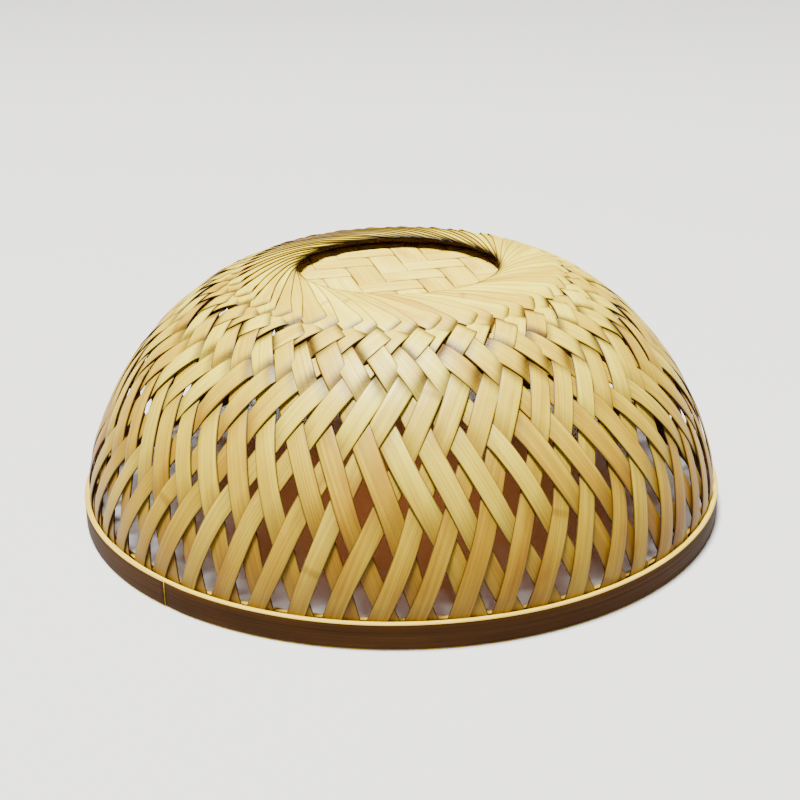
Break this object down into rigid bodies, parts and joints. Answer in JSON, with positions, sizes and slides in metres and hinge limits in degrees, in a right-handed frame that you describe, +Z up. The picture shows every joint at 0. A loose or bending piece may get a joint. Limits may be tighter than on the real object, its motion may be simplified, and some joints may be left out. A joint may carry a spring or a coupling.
{
  "type": "woven bamboo hat",
  "caption": "Domed hat woven from split-bamboo strips that whirl round a sunken flat crown disc, open diamond weave low on the sides, gripped by a rim hoop.",
  "frame": {"origin": "centre of the rim, on the surface that the hat rests on", "axes": "+Z up through the crown, -Y towards the viewer, +X to the viewer's right"},
  "size_m": [0.25, 0.25, 0.0949],
  "materials": {
    "strip": "satin split bamboo, pale straw with tan patches",
    "hoop": "satin bamboo hoop, browner than the strips",
    "disc": "satin split bamboo, pale"
  },
  "bodies": {
    "root": {"strip_01": "strip", "strip_02": "strip", "strip_03": "strip", "strip_04": "strip", "strip_05": "strip", "strip_06": "strip", "strip_07": "strip", "strip_08": "strip", "strip_09": "strip", "strip_10": "strip", "strip_11": "strip", "strip_12": "strip", "strip_13": "strip", "strip_14": "strip", "strip_15": "strip", "strip_16": "strip", "strip_17": "strip", "strip_18": "strip", "strip_19": "strip", "strip_20": "strip", "strip_21": "strip", "strip_22": "strip", "strip_23": "strip", "strip_24": "strip", "strip_25": "strip", "strip_26": "strip", "strip_27": "strip", "strip_28": "strip", "strip_29": "strip", "strip_30": "strip", "strip_31": "strip", "strip_32": "strip", "strip_33": "strip", "strip_34": "strip", "strip_35": "strip", "strip_36": "strip", "strip_37": "strip", "strip_38": "strip", "strip_39": "strip", "strip_40": "strip", "strip_41": "strip", "strip_42": "strip", "strip_43": "strip", "strip_44": "strip", "strip_45": "strip", "strip_46": "strip", "strip_47": "strip", "strip_48": "strip", "strip_49": "strip", "strip_50": "strip", "strip_51": "strip", "strip_52": "strip", "strip_53": "strip", "strip_54": "strip", "strip_55": "strip", "strip_56": "strip", "outer_hoop": "hoop", "inner_hoop": "hoop", "crown_warp": "disc", "crown_weft": "disc"}
  },
  "joints": []
}
